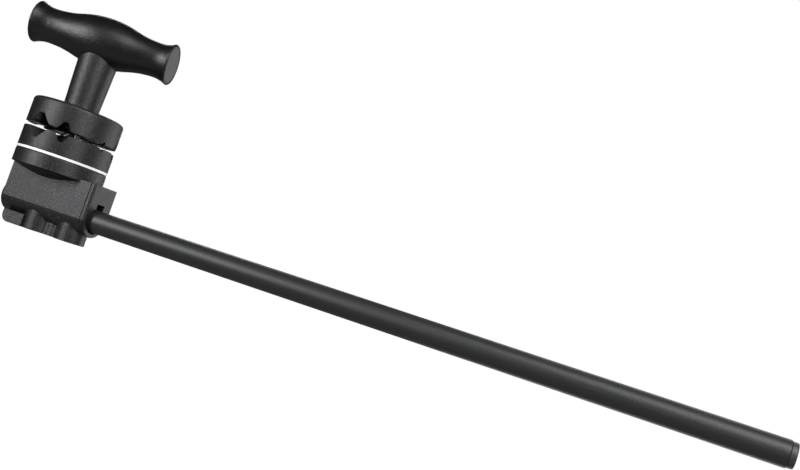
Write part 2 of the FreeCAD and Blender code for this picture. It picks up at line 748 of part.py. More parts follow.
def make_bearing_races():
    """The two flat hardened rings that the needles roll between."""
    races = []
    for name, lift in (("lower", "0"), ("upper", "Sizes.race_thickness + Sizes.roller_space")):
        body = new_body(f"bearing_{name}_race", x="Sizes.stud_x", z=f"{BEARING_FLOOR} + {lift}")
        ring = new_sketch(body, f"{name}_race_ring", "XY_Plane")
        draw_circle(ring, "Sizes.race_radius")
        draw_circle(ring, "Sizes.race_bore_radius")
        pad(body, ring, "Sizes.race_thickness")
        races.append(body)
    return races


def make_bearing_cage():
    """The flat ring with a window for each needle."""
    body = new_body("bearing_cage", x="Sizes.stud_x",
                    z=f"{BEARING_FLOOR} + Sizes.race_thickness + Sizes.roller_space / 2")
    ring = new_sketch(body, "cage_ring", "XY_Plane", "-Sizes.cage_thickness / 2")
    draw_circle(ring, "Sizes.cage_radius")
    draw_circle(ring, "Sizes.cage_bore_radius")
    pad(body, ring, "Sizes.cage_thickness")
    window = new_sketch(body, "cage_window", "XY_Plane", "-Sizes.cage_thickness")
    clearance = "0.05"
    inner = f"Sizes.needle_inner - {clearance}"
    outer = f"Sizes.needle_inner + Sizes.needle_length + {clearance}"
    side = f"Sizes.needle_radius + {clearance}"
    draw_outline(window, [(inner, f"-({side})"), (outer, f"-({side})"), (outer, side), (inner, side)])
    pocket = cut_depth(body, window, "2 * Sizes.cage_thickness", away_from_normal=False)
    pattern = body.newObject("PartDesign::PolarPattern", "cage_windows")
    pattern.Originals = [pocket]
    pattern.Axis = (origin_feature(body, "Z_Axis"), [""])
    pattern.Angle = 360
    pattern.Occurrences = NEEDLES
    body.Tip = pattern
    doc.recompute()
    return body


def make_bearing_needles():
    """The needle rollers, lying like spokes between the races."""
    rollers = []
    for number in range(NEEDLES):
        turn = FreeCAD.Rotation(Vector(0, 0, 1), 360 * number / NEEDLES)
        roller = doc.addObject("Part::Cylinder", f"needle_{number + 1}")
        roller.setExpression("Radius", "Sizes.needle_radius")
        roller.setExpression("Height", "Sizes.needle_length")
        start = turn.multVec(Vector(value_of("needle_inner"), 0, 0))
        roller.Placement = FreeCAD.Placement(start, turn * FreeCAD.Rotation(Vector(0, 1, 0), 90))
        rollers.append(roller)
    needles = doc.addObject("Part::Compound", "bearing_needles")
    needles.Label = "bearing_needles"
    needles.Links = rollers
    place(needles, "Sizes.stud_x", "0",
          f"{BEARING_FLOOR} + Sizes.race_thickness + Sizes.roller_space / 2")
    return needles


# ---------------------------------------------------------------- handle
JAW_TOP = ("(Sizes.lower_jaw_bottom + Sizes.lower_jaw_height + Sizes.jaw_gap"
           " + Sizes.upper_jaw_height)")


def make_handle_hub():
    """The cast conical stem, with the boss that presses on the bearing and the core of the bar."""
    stem = doc.addObject("Part::Cone", "stem_cone")
    stem.setExpression("Radius1", "Sizes.stem_bottom_radius")
    stem.setExpression("Radius2", "Sizes.stem_top_radius")
    stem.setExpression("Height", f"Sizes.stem_top - {JAW_TOP} - Sizes.stem_gap")
    stem.setExpression("Placement.Base.z", f"{JAW_TOP} + Sizes.stem_gap")
    boss = doc.addObject("Part::Cylinder", "hub_boss")
    boss.setExpression("Radius", "Sizes.hub_boss_radius")
    boss.setExpression("Height", "3 * Sizes.race_thickness")
    boss.setExpression("Placement.Base.z", f"{BEARING_FLOOR} + 2 * Sizes.race_thickness + Sizes.roller_space")
    bar = doc.addObject("Part::Cylinder", "cross_bar")
    bar.Placement = FreeCAD.Placement(Vector(0, 0, 0), FreeCAD.Rotation(Vector(0, 1, 0), 90))
    bar.setExpression("Radius", "Sizes.bar_radius")
    half_bar = "(Sizes.grip_half_length - Sizes.grip_cap_recess - Sizes.grip_cap_thickness)"
    bar.setExpression("Height", f"2 * {half_bar}")
    bar.setExpression("Placement.Base.x", f"-{half_bar}")
    bar.setExpression("Placement.Base.z", "Sizes.handle_height")
    neck = doc.addObject("Part::Cylinder", "hub_neck")
    neck.setExpression("Radius", "Sizes.bar_radius")
    neck.setExpression("Height", "Sizes.handle_height - Sizes.stem_top")
    neck.setExpression("Placement.Base.z", "Sizes.stem_top")
    solid = doc.addObject("Part::MultiFuse", "hub_solid")
    solid.Shapes = [stem, boss, bar, neck]
    seat = doc.addObject("Part::Cylinder", "insert_seat")
    seat.setExpression("Radius", "Sizes.insert_radius")
    seat.setExpression("Height", f"Sizes.insert_top - {BEARING_FLOOR}")
    seat.setExpression("Placement.Base.z", BEARING_FLOOR)
    bore = doc.addObject("Part::Cylinder", "stud_bore")
    bore.setExpression("Radius", "Sizes.hub_bore_radius")
    bore.setExpression("Height", f"Sizes.hub_bore_top - {BEARING_FLOOR}")
    bore.setExpression("Placement.Base.z", BEARING_FLOOR)
    cavity = doc.addObject("Part::Fuse", "hub_cavity")
    cavity.Base = seat
    cavity.Tool = bore
    hub = doc.addObject("Part::Cut", "handle_hub")
    hub.Label = "handle_hub"
    hub.Base = solid
    hub.Tool = cavity
    place(hub, "Sizes.stud_x", "0", "0", "Sizes.handle_yaw")
    doc.recompute()
    return hub


def make_handle_insert():
    """The steel insert that carries the thread."""
    body = new_body("handle_insert", x="Sizes.stud_x", z="Sizes.insert_bottom")
    ring = new_sketch(body, "insert_ring", "XY_Plane")
    draw_circle(ring, "Sizes.insert_radius")
    draw_circle(ring, "Sizes.thread_clearance_radius")
    pad(body, ring, "Sizes.insert_top - Sizes.insert_bottom")
    return body


def draw_grip_profile(sketch):
    """Half the grip's outline above its axis: crown in the middle, necks, flared ends."""
    end_x = value_of("grip_half_length")
    end_radius = value_of("grip_end_radius")
    neck_x = value_of("grip_neck_x")
    neck_radius = value_of("grip_neck_radius")
    crown_radius = value_of("grip_crown_radius")
    fall = crown_radius - neck_radius
    # crown and neck arcs share one radius and meet half way, at a common tangent
    sweep = (neck_x ** 2 + fall ** 2) / (4 * fall)
    rise = end_radius - neck_radius
    flare = ((end_x - neck_x) ** 2 + rise ** 2) / (2 * rise)
    crown = draw_arc(sketch, Vector(0, crown_radius - sweep, 0),
                     Vector(neck_x / 2, crown_radius - fall / 2, 0),
                     Vector(-neck_x / 2, crown_radius - fall / 2, 0))
    right_neck = draw_arc(sketch, Vector(neck_x, neck_radius + sweep, 0),
                          Vector(neck_x / 2, crown_radius - fall / 2, 0), Vector(neck_x, neck_radius, 0))
    left_neck = draw_arc(sketch, Vector(-neck_x, neck_radius + sweep, 0),
                         Vector(-neck_x, neck_radius, 0), Vector(-neck_x / 2, crown_radius - fall / 2, 0))
    right_flare = draw_arc(sketch, Vector(neck_x, neck_radius + flare, 0),
                           Vector(neck_x, neck_radius, 0), Vector(end_x, end_radius, 0))
    left_flare = draw_arc(sketch, Vector(-neck_x, neck_radius + flare, 0),
                          Vector(-end_x, end_radius, 0), Vector(-neck_x, neck_radius, 0))
    left_end = sketch.addGeometry(Part.LineSegment(Vector(-end_x, end_radius, 0), Vector(-end_x, 0, 0)))
    axis = sketch.addGeometry(Part.LineSegment(Vector(-end_x, 0, 0), Vector(end_x, 0, 0)))
    right_end = sketch.addGeometry(Part.LineSegment(Vector(end_x, 0, 0), Vector(end_x, end_radius, 0)))
    for one, end, other, start in ((crown, 1, right_neck, 1), (crown, 2, left_neck, 2)):
        sketch.addConstraint(Sketcher.Constraint("Tangent", one, end, other, start))
        sketch.addConstraint(Sketcher.Constraint("Equal", one, other))
    for one, end, other, start in ((right_neck, 2, right_flare, 1), (left_neck, 1, left_flare, 2),
                                   (left_flare, 1, left_end, 1), (left_end, 2, axis, 1),
                                   (axis, 2, right_end, 1), (right_end, 2, right_flare, 2)):
        sketch.addConstraint(Sketcher.Constraint("Coincident", one, end, other, start))
    for sign, neck, flared, end_line, foot in (("", right_neck, right_flare, right_end, 1),
                                               ("-", left_neck, left_flare, left_end, 2)):
        tip = 2 if foot == 1 else 1
        fix_point(sketch, end_line, tip, f"{sign}Sizes.grip_half_length", "Sizes.grip_end_radius")
        fix_point(sketch, end_line, foot, f"{sign}Sizes.grip_half_length", "0")
        fix_point(sketch, neck, 2 if sign == "" else 1, f"{sign}Sizes.grip_neck_x", "Sizes.grip_neck_radius")
        fix_point(sketch, neck, 3, f"{sign}Sizes.grip_neck_x", None)
        fix_point(sketch, flared, 3, f"{sign}Sizes.grip_neck_x", None)


def make_handle_grip():
    """The moulded grip over the cross bar and the top of the stem."""
    body = new_body("handle_grip", x="Sizes.stud_x", z="Sizes.handle_height", yaw="Sizes.handle_yaw")
    profile = new_sketch(body, "grip_profile", "XZ_Plane")
    draw_grip_profile(profile)
    revolve(body, profile, "H_Axis")
    radius = value_of("grip_end_radius")
    end = value_of("grip_half_length")
    round_edges(body, "Fillet", "Sizes.grip_end_round",
                lambda edge: is_circle(edge, radius, "x", end) or is_circle(edge, radius, "x", -end))

    hollow = new_sketch(body, "bar_hollow", "XZ_Plane")
    seat = "Sizes.grip_half_length - Sizes.grip_cap_recess - Sizes.grip_cap_thickness"
    outside = f"Sizes.grip_half_length + {OVERSHOOT}"
    draw_outline(hollow, [
        (f"-({outside})", "0"),
        (f"-({outside})", "Sizes.grip_cap_radius"),
        (f"-({seat})", "Sizes.grip_cap_radius"),
        (f"-({seat})", "Sizes.bar_radius"),
        (seat, "Sizes.bar_radius"),
        (seat, "Sizes.grip_cap_radius"),
        (outside, "Sizes.grip_cap_radius"),
        (outside, "0"),
    ])
    cut_turned(body, hollow, "H_Axis")

    stem = new_sketch(body, "stem_hollow", "XZ_Plane")
    draw_outline(stem, [
        ("0", f"{JAW_TOP} + Sizes.stem_gap - Sizes.handle_height"),
        ("Sizes.stem_bottom_radius", f"{JAW_TOP} + Sizes.stem_gap - Sizes.handle_height"),
        ("Sizes.stem_top_radius", "Sizes.stem_top - Sizes.handle_height"),
        ("Sizes.bar_radius", "Sizes.stem_top - Sizes.handle_height"),
        ("Sizes.bar_radius", "0"),
        ("0", "0"),
    ])
    cut_turned(body, stem, "V_Axis")
    return body


def make_handle_end_caps():
    """The flat discs let into the two ends of the grip."""
    caps = []
    reach = "(Sizes.grip_half_length - Sizes.grip_cap_recess)"
    for name, sign in (("right", ""), ("left", "-")):
        body = new_body(f"handle_end_cap_{name}",
                        x=f"Sizes.stud_x {sign or '+'} {reach} * cos(Sizes.handle_yaw * 1 deg)",
                        y=f"{sign}{reach} * sin(Sizes.handle_yaw * 1 deg)",
                        z="Sizes.handle_height", yaw="Sizes.handle_yaw")
        disc = new_sketch(body, f"{name}_cap_disc", "YZ_Plane",
                          "-Sizes.grip_cap_thickness" if sign == "" else "0")
        draw_circle(disc, "Sizes.grip_cap_radius")
        pad(body, disc, "Sizes.grip_cap_thickness")
        caps.append(body)
    return caps


# ---------------------------------------------------------------- build, check and write
pieces = [
    make_arm_tube(),
    make_arm_end_plug(),
    make_arm_retainer(),
    make_body_casting(),
    make_body_end_cap(),
    make_eye_stud(),
    make_friction_washer(),
    make_lower_jaw(),
    make_upper_jaw(),
    *make_alignment_pins(),
    make_jaw_spring(),
    *make_bearing_races(),
    make_bearing_cage(),
    make_bearing_needles(),
    make_handle_hub(),
    make_handle_insert(),
    make_handle_grip(),
    *make_handle_end_caps(),
]
doc.recompute()

for item in doc.Objects:
    if "Invalid" in item.State or "Error" in item.State:
        raise RuntimeError(f"{item.Name} failed: {item.State}")
for piece in pieces:
    if piece.Shape.isNull() or not piece.Shape.isValid():
        raise RuntimeError(f"{piece.Label} has no valid shape")

os.makedirs("parts", exist_ok=True)
for piece in pieces:
    piece.Shape.exportStep(f"parts/{piece.Label}.step")
    box = piece.Shape.BoundBox
    print(f"{piece.Label:24s} solids {len(piece.Shape.Solids):2d}  volume {piece.Shape.Volume:10.1f} mm3  "
          f"x {box.XMin:7.2f} {box.XMax:7.2f}  y {box.YMin:7.2f} {box.YMax:7.2f}  "
          f"z {box.ZMin:7.2f} {box.ZMax:7.2f}")
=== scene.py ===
# %% [markdown]
# # A grip arm and its head
# On a film set this arm holds flags and lamps: a round steel tube carries a head with two grooved
# jaws, and a T-handle squeezes them together. The engineering model already holds every casting,
# tube and disc at its true size, so this lesson adds what engineering leaves out: finishes that
# answer light like the real ones, teeth on the groove walls, the coiled spring between the jaws,
# and the light of a product studio. Loading that model first gives every later step its places.

# %% Load the fixed frame
import json
import math

import bmesh
import bpy
from mathutils import Matrix, Vector


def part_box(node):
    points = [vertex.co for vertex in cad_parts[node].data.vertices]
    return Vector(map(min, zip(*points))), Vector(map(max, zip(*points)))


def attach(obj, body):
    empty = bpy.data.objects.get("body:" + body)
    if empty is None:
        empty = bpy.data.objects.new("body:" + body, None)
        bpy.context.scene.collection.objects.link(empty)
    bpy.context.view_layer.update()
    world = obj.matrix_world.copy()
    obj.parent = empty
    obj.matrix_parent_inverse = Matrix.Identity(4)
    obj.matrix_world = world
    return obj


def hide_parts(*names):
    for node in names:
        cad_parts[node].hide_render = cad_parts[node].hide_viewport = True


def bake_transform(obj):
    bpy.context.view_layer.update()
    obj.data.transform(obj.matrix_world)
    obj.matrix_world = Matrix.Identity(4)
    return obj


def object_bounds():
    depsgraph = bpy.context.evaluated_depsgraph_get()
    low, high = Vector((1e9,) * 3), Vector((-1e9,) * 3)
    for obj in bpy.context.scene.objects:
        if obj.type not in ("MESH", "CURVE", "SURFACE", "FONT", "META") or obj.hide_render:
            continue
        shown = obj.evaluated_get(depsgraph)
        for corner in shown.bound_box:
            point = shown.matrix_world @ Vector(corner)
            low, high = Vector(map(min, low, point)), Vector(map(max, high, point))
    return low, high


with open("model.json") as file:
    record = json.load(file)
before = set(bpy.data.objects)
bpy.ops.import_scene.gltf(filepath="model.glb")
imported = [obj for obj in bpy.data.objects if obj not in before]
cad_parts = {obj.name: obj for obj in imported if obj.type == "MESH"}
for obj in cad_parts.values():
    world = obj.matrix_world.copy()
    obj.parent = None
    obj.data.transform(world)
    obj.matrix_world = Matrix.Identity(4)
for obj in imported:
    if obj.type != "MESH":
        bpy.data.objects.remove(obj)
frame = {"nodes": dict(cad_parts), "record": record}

cad_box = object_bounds()

# %% [markdown]
# ## Measures taken from the frame
# Every place in this script comes from the model itself, so nothing has to be fitted by eye. The
# box round a node gives its lowest and highest corners. The jaws are discs, so half a box's width
# is a radius, and the record's groove mounts say where each pair of grooves lies and how it runs.
# Millimetres are easier to read than small fractions of a metre, hence one scale factor.

# %% Measures
MM = 0.001

lower_low, lower_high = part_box("lower_jaw")
upper_low, upper_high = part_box("upper_jaw")
spring_low, spring_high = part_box("jaw_spring")
stud_low, stud_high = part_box("eye_stud")

stud_axis = Vector(((stud_low.x + stud_high.x) / 2, 0, 0))
jaw_radius = (upper_high.y - upper_low.y) / 2
print("jaw radius", round(jaw_radius / MM, 2), "mm, stud at x", round(stud_axis.x / MM, 2), "mm")

# %% [markdown]
# ## The camera
# The arm is shown hanging diagonally, which is a camera rolled to one side and standing level with
# the arm, to the right of the head. A real camera is copied by its place, its lens and three
# angles. Turning the angles into three axes by hand keeps roll separate from the direction of view,
# which Euler angles would mix up.

# %% Camera
CAMERA_PLACE = Vector((0.4035, -0.5679, 0.0053))
CAMERA_YAW = math.radians(18.485)
CAMERA_PITCH = math.radians(4.512)
CAMERA_ROLL = math.radians(18.354)
LENS = 43.24
SENSOR = 36.0


def camera_axes(yaw, pitch, roll):
    """The camera's right, up and forward directions."""
    level = Vector((math.cos(yaw), math.sin(yaw), 0))
    ahead = Vector((-math.sin(yaw), math.cos(yaw), 0))
    forward = ahead * math.cos(pitch) + Vector((0, 0, math.sin(pitch)))
    upright = level.cross(forward)
    right = level * math.cos(roll) + upright * math.sin(roll)
    up = upright * math.cos(roll) - level * math.sin(roll)
    return right, up, forward


view_right, view_up, view_forward = camera_axes(CAMERA_YAW, CAMERA_PITCH, CAMERA_ROLL)
camera_data = bpy.data.cameras.new("studio_camera")
camera_data.lens = LENS
camera_data.sensor_width = SENSOR
camera_data.clip_start = 0.01
camera = bpy.data.objects.new("studio_camera", camera_data)
bpy.context.scene.collection.objects.link(camera)
columns = Matrix((view_right, view_up, -view_forward)).transposed()
camera.matrix_world = Matrix.Translation(CAMERA_PLACE) @ columns.to_4x4()
bpy.context.scene.camera = camera
print("camera looks along", [round(part, 3) for part in view_forward])

# %% [markdown]
# ## Writing a material as arithmetic
# A node tree is a formula drawn as boxes. Written as Python it stays readable: a wrapped socket
# can be added, multiplied or subtracted, and each operation places one Math node. Anything that is
# not arithmetic, such as a noise texture, comes from a single method that takes the node's type,
# its settings and its sockets' values, so every finish below is a handful of lines.

# %% Sockets that do arithmetic


class Socket:
    """One output of a node, which can be used in a Python expression."""

    def __init__(self, finish, output):
        self.finish = finish
        self.output = output

    def maths(self, operation, first, second):
        """A Math node, or a Vector Math node where this socket carries a vector."""
        kind = "ShaderNodeVectorMath" if self.output.type == "VECTOR" else "ShaderNodeMath"
        return self.finish.node(kind, {"operation": operation}, {0: first, 1: second})

    def __add__(self, other):
        return self.maths("ADD", self, other)

    def __radd__(self, other):
        return self.maths("ADD", other, self)

    def __sub__(self, other):
        return self.maths("SUBTRACT", self, other)

    def __rsub__(self, other):
        return self.maths("SUBTRACT", other, self)

    def __mul__(self, other):
        return self.maths("MULTIPLY", self, other)

    def __rmul__(self, other):
        return self.maths("MULTIPLY", other, self)


class Nodes:
    """A node tree being built, and the one shader in it that the tree feeds."""

    def __init__(self, owner, shader):
        owner.use_nodes = True
        self.owner = owner
        self.tree = owner.node_tree
        self.shader = self.tree.nodes[shader]

    def node(self, kind, settings=None, sockets=None, output=0):
        """Any node: its settings first, then the values or links of its sockets."""
        made = self.tree.nodes.new(kind)
        for name, value in (settings or {}).items():
            setattr(made, name, value)
        for name, value in (sockets or {}).items():
            self.feed(made.inputs[name], value)
        return Socket(self, made.outputs[output])

    def feed(self, socket, value):
        """Link a wrapped socket, or set a plain value."""
        if isinstance(value, Socket):
            self.tree.links.new(value.output, socket)
        else:
            socket.default_value = value

    def end(self, **values):
        """Set or feed the shader's own sockets, and hand the owner over."""
        for socket, value in values.items():
            self.feed(self.shader.inputs[socket.replace("_", " ").title()], value)
        print(self.owner.name, "has", len(self.tree.nodes), "nodes")
        return self.owner


class Finish(Nodes):
    """A material, with the textures and relief that the finishes below share."""

    def __init__(self, name):
        super().__init__(bpy.data.materials.new(name), "Principled BSDF")
        self.place = self.node("ShaderNodeTexCoord", output="Object")

    def noise(self, size, detail=2.0, roughness=0.5):
        """Noise whose lumps are about this many millimetres wide."""
        return self.node("ShaderNodeTexNoise", None, {
            "Vector": self.place, "Scale": 1 / (size * MM), "Detail": detail, "Roughness": roughness})

    def threshold(self, value, low, high):
        """0 below low, 1 above high, and a straight run between."""
        return self.node("ShaderNodeMapRange", None, {
            "Value": value, "From Min": low, "From Max": high})

    def mix(self, amount, first, second):
        """A colour between two colours."""
        return self.node("ShaderNodeMix", {"data_type": "RGBA"},
                         {"Factor": amount, 6: first, 7: second}, output=2)

    def edges(self, radius):
        """Normals that round every sharp edge by this many millimetres."""
        return self.node("ShaderNodeBevel", {"samples": 6}, {"Radius": radius * MM})

    def wear(self, rounded, amount):
        """A patchy mask of worn edges: where the rounded normal leaves the true one, and 0 on flats."""
        true_normal = self.node("ShaderNodeNewGeometry", output="Normal")
        match = self.node("ShaderNodeVectorMath", {"operation": "DOT_PRODUCT"},
                          {0: rounded, 1: true_normal}, output="Value")
        patches = self.threshold(self.noise(1.6, 3.0, 0.7), 0.42, 0.62)
        return self.threshold(match, 0.985, 0.87) * patches * amount

    def bump(self, height, depth, strength, normal):
        """Turn a height between 0 and 1 into relief this many millimetres deep, over rounded edges."""
        return self.node("ShaderNodeBump", None, {
            "Height": height, "Distance": depth * MM, "Strength": strength, "Normal": normal})


def grey(shade, warmth=0.0):
    """A neutral colour, a little warmer or cooler where warmth is not 0."""
    return (shade * (1 + warmth), shade, shade * (1 - warmth), 1)


# %% [markdown]
# ## Textured powder coat
# The castings are sprayed with dry powder and baked, which leaves a fine pebbled skin: dark, matt,
# and full of tiny glints where a grain faces the light. The glints are painted highlights: paler
# specks painted into the colour, which alone would look flat from other angles, so the relief does
# most of the work. Two sizes of noise make the pebbles, a wider one makes the coat uneven, and
# softened edges stand for the paint rolling over corners.
# Handling polishes those corners in patches, which leaves them a little paler and shinier. All
# sizes and depths here are in millimetres.

# %% Powder coat
PEBBLE_SIZE = 0.9
GRAIN_SIZE = 0.3
PAINTED_GLINT_SIZE = 0.7
CLOUD_SIZE = 9.0
COAT_RELIEF = 0.22
COAT_EDGE = 0.4
COAT_WEAR = 0.16


def make_powder_coat():
    """The castings' finish."""
    coat = Finish("powder_coat")
    pebbles = coat.noise(PEBBLE_SIZE, 2.0, 0.6)
    grains = coat.noise(GRAIN_SIZE, 1.0)
    clouds = coat.noise(CLOUD_SIZE, 3.0)
    # painted glints: paler specks painted into the colour as highlights, which also lower the roughness
    painted_glints = coat.threshold(coat.noise(PAINTED_GLINT_SIZE, 1.0), 0.56, 0.68)
    relief = pebbles * 0.7 + grains * 0.3
    dark = coat.mix(clouds, grey(0.003), grey(0.006))
    rounded = coat.edges(COAT_EDGE)
    worn = coat.wear(rounded, COAT_WEAR)
    return coat.end(
        base_color=coat.mix(worn, coat.mix(painted_glints * 0.6, dark, grey(0.08)), grey(0.10)),
        roughness=0.39 + clouds * 0.12 - painted_glints * 0.1 - worn * 0.15,
        normal=coat.bump(relief, COAT_RELIEF, 1.0, rounded),
    )


powder_coat = make_powder_coat()

# %% [markdown]
# ## Smooth black paint on the tube
# The tube is painted or powder coated too, but with a smoother, shinier coat, which shows as long
# soft reflections along it. Real paint is never quite even: a faint orange peel bends those
# reflections, and handling leaves lengthwise rubs. Stretching a noise along the tube gives the rubs
# without any picture.

# %% Tube paint
RUB_STRETCH = (0.06, 1.0, 1.0)
RUB_SIZE = 1.1
PEEL_SIZE = 1.3
SPECK_SIZE = 0.35
PAINT_RELIEF = 0.10
PAINT_EDGE = 0.3


def make_tube_paint():
    """The arm tube's finish."""
    paint = Finish("tube_paint")
    peel = paint.noise(PEEL_SIZE, 2.0)
    specks = paint.noise(SPECK_SIZE, 1.0)
    rubs = paint.node("ShaderNodeTexNoise", None, {
        "Vector": paint.place * RUB_STRETCH, "Scale": 1 / (RUB_SIZE * MM), "Detail": 3.0})
    tone = paint.mix(rubs, grey(0.011), grey(0.021))
    dust = paint.threshold(specks, 0.62, 0.74)
    return paint.end(
        base_color=paint.mix(dust * 0.4, tone, grey(0.07)),
        roughness=0.40 + rubs * 0.12,
        normal=paint.bump(peel * 0.7 + specks * 0.3, PAINT_RELIEF, 0.8, paint.edges(PAINT_EDGE)),
    )


tube_paint = make_tube_paint()

# %% [markdown]
# ## Moulded plastics
# The handle's grip is moulded nylon: smoother than the castings, with a gentle ripple and a soft
# sheen. The discs in its ends and the plug in the tube come from rougher moulds, and the washer is
# a slippery white plastic that stays almost featureless. Hands leave scuffs on all of them, which
# show on the black ones. They differ only in shade, shine and grain, so one function makes all four.

# %% Plastics
DRIFT_SIZE = 6.0
WAVE_SIZE = 3.5
SCUFF_SIZE = 0.8
SCUFF_PALER = 0.08


def make_plastic(name, shades, roughness, grain, relief, edge):
    """A moulded plastic: two shades to drift between, its shine, and the size and depth of its grain."""
    plastic = Finish(name)
    drift = plastic.noise(DRIFT_SIZE, 3.0)
    skin = plastic.noise(grain, 2.0, 0.6)
    wave = plastic.noise(WAVE_SIZE, 1.0)
    handled = plastic.threshold(drift, 0.45, 0.65)
    scuffs = plastic.threshold(plastic.noise(SCUFF_SIZE, 2.0, 0.7), 0.60, 0.74) * handled
    moulded = plastic.mix(drift, grey(shades[0]), grey(shades[1]))
    rounded = plastic.edges(edge)
    marked = scuffs * 0.4 + plastic.wear(rounded, 0.3)
    return plastic.end(
        base_color=plastic.mix(marked, moulded, grey(min(shades[1] + SCUFF_PALER, 1.0))),
        roughness=roughness - 0.04 + skin * 0.08 + scuffs * 0.08,
        normal=plastic.bump(skin * 0.6 + wave * 0.4, relief, 0.9, rounded),
    )


grip_plastic = make_plastic("grip_plastic", (0.003, 0.006), 0.37, 0.8, 0.30, 0.5)
cap_plastic = make_plastic("cap_plastic", (0.060, 0.075), 0.55, 0.35, 0.03, 0.3)
plug_plastic = make_plastic("plug_plastic", (0.028, 0.036), 0.45, 0.4, 0.03, 0.3)
washer_plastic = make_plastic("washer_plastic", (0.92, 0.96), 0.45, 0.5, 0.01, 0.2)

# %% [markdown]
# ## Bare and blackened steel
# The stud, the spring and the thrust bearing are plain steel, turned or drawn, with fine marks that
# run round the axis; the two dowels are blackened. Metal takes its colour from what it reflects,
# so its base colour is a pale grey and only the roughness and the tiny grooves tell how it was made.
# Squeezing a noise along the axis and drawing it out across it gives marks that lie in rings.

# %% Steels
MARK_STRETCH = (0.12, 0.12, 1.0)
MARK_SIZE = 0.12
STAIN_SIZE = 2.5
STEEL_EDGE = 0.12


def make_steel(name, shade, roughness, warmth=0.0):
    """A metal with turning marks that run round the upright axis."""
    steel = Finish(name)
    marks = steel.node("ShaderNodeTexNoise", None, {
        "Vector": steel.place * MARK_STRETCH, "Scale": 1 / (MARK_SIZE * MM), "Detail": 2.0})
    stains = steel.noise(STAIN_SIZE, 3.0)
    return steel.end(
        metallic=1.0,
        base_color=steel.mix(stains, grey(shade * 0.8, warmth), grey(shade, warmth)),
        roughness=roughness - 0.06 + marks * 0.16,
        normal=steel.bump(marks, 0.01, 0.5, steel.edges(STEEL_EDGE)),
    )


bright_steel = make_steel("bright_steel", 0.60, 0.30)
spring_wire = make_steel("spring_wire", 0.72, 0.26, 0.01)
black_steel = make_steel("black_steel", 0.10, 0.38, -0.02)

# %% [markdown]
# ## Dressing the engineering pieces
# Each node already has an empty material slot. Handing it a finish changes nothing about its shape
# or place. Going by the record's slot names rather than by node keeps one finish on all the pieces
# that share it.

# %% Finishes on the nodes
FINISHES = {
    "black_tube": tube_paint,
    "end_plug": plug_plastic,
    "steel": bright_steel,
    "black_casting": powder_coat,
    "white_washer": washer_plastic,
    "dark_steel": black_steel,
    "spring_steel": spring_wire,
    "black_grip": grip_plastic,
    "grip_cap": cap_plastic,
}
for part in frame["record"]["subparts"]:
    node = frame["nodes"][part["node"]]
    for slot in node.material_slots:
        slot.material = FINISHES[part["material_slot"]]
    print(part["node"], "wears", part["material_slot"])

# %% [markdown]
# ## A helper for new meshes
# The pieces made here are swept or repeated shapes, so each one is a list of corners and faces.
# A small builder collects them, closes the mesh, turns its faces outwards and names the object. An
# angle limit on smooth shading keeps round faces round and ridges crisp.

# %% Mesh helper
SMOOTH_LIMIT = math.radians(35)


def make_piece(name, corners, faces, finish, body):
    """A closed mesh with outward faces, riding on a body and wearing a finish."""
    mesh = bpy.data.meshes.new(name)
    mesh.from_pydata(corners, [], faces)
    shape = bmesh.new()
    shape.from_mesh(mesh)
    bmesh.ops.recalc_face_normals(shape, faces=shape.faces)
    shape.to_mesh(mesh)
    shape.free()
    mesh.materials.append(finish)
    mesh.shade_smooth()
    mesh.set_sharp_from_angle(angle=SMOOTH_LIMIT)
    piece = bpy.data.objects.new(name, mesh)
    bpy.context.scene.collection.objects.link(piece)
    if body is not None:
        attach(piece, body)
    print(name, "has", len(mesh.polygons), "faces")
    return piece


# %% [markdown]
# ## Teeth on the groove walls
# The walls of the V-grooves carry fine ridges that run along the groove and bite into a rod. They
# could be bump on the wall, but the grooves face the viewer edge on, and there bump vanishes; real
# ridges catch the light and notch the outline. Each ridge is a long three-sided bar lying on
# the wall. It stops where the disc ends and where another groove crosses its path.

# %% Grooves
TOOTH_PITCH = 0.95 * MM
TOOTH_RISE = 0.38 * MM
TOOTH_ROOT = 0.08 * MM
TOOTH_HALF_BASE = 0.46 * TOOTH_PITCH
WALL_MARGIN = 0.5 * MM
RIM_MARGIN = 0.55 * MM
CENTRE_HOLE = 8.1 * MM

# width at the jaw's face, width at the floor, depth
GROOVE_SHAPES = {
    "large": (14.6 * MM, 3.8 * MM, 7.2 * MM),
    "medium": (8.8 * MM, 2.8 * MM, 5.5 * MM),
    "back": (7.0 * MM, 2.0 * MM, 4.0 * MM),
    "small": (4.0 * MM, 0.8 * MM, 2.0 * MM),
}
GROOVE_ORDER = list(GROOVE_SHAPES)


def groove_lines():
    """For each groove: its distance from the stud, and the directions outwards and along it."""
    lines = {}
    for mount in frame["record"]["mounts"]:
        name = mount["name"].removesuffix("_grooves")
        if name in GROOVE_SHAPES:
            spot = Vector(mount["pos_m"]) - stud_axis
            spot.z = 0
            lines[name] = (spot.length, spot.normalized(), Vector(mount["axis"]))
    return lines


lines = groove_lines()
for name, (distance, outwards, along) in lines.items():
    print(name, "groove", round(distance / MM, 1), "mm from the stud")


def half_width(name, depth):
    """Half a groove's width at a depth below the jaw's face, and 0 under its floor."""
    width, floor, full_depth = GROOVE_SHAPES[name]
    if depth >= full_depth:
        return 0.0
    return (width + (floor - width) * depth / full_depth) / 2


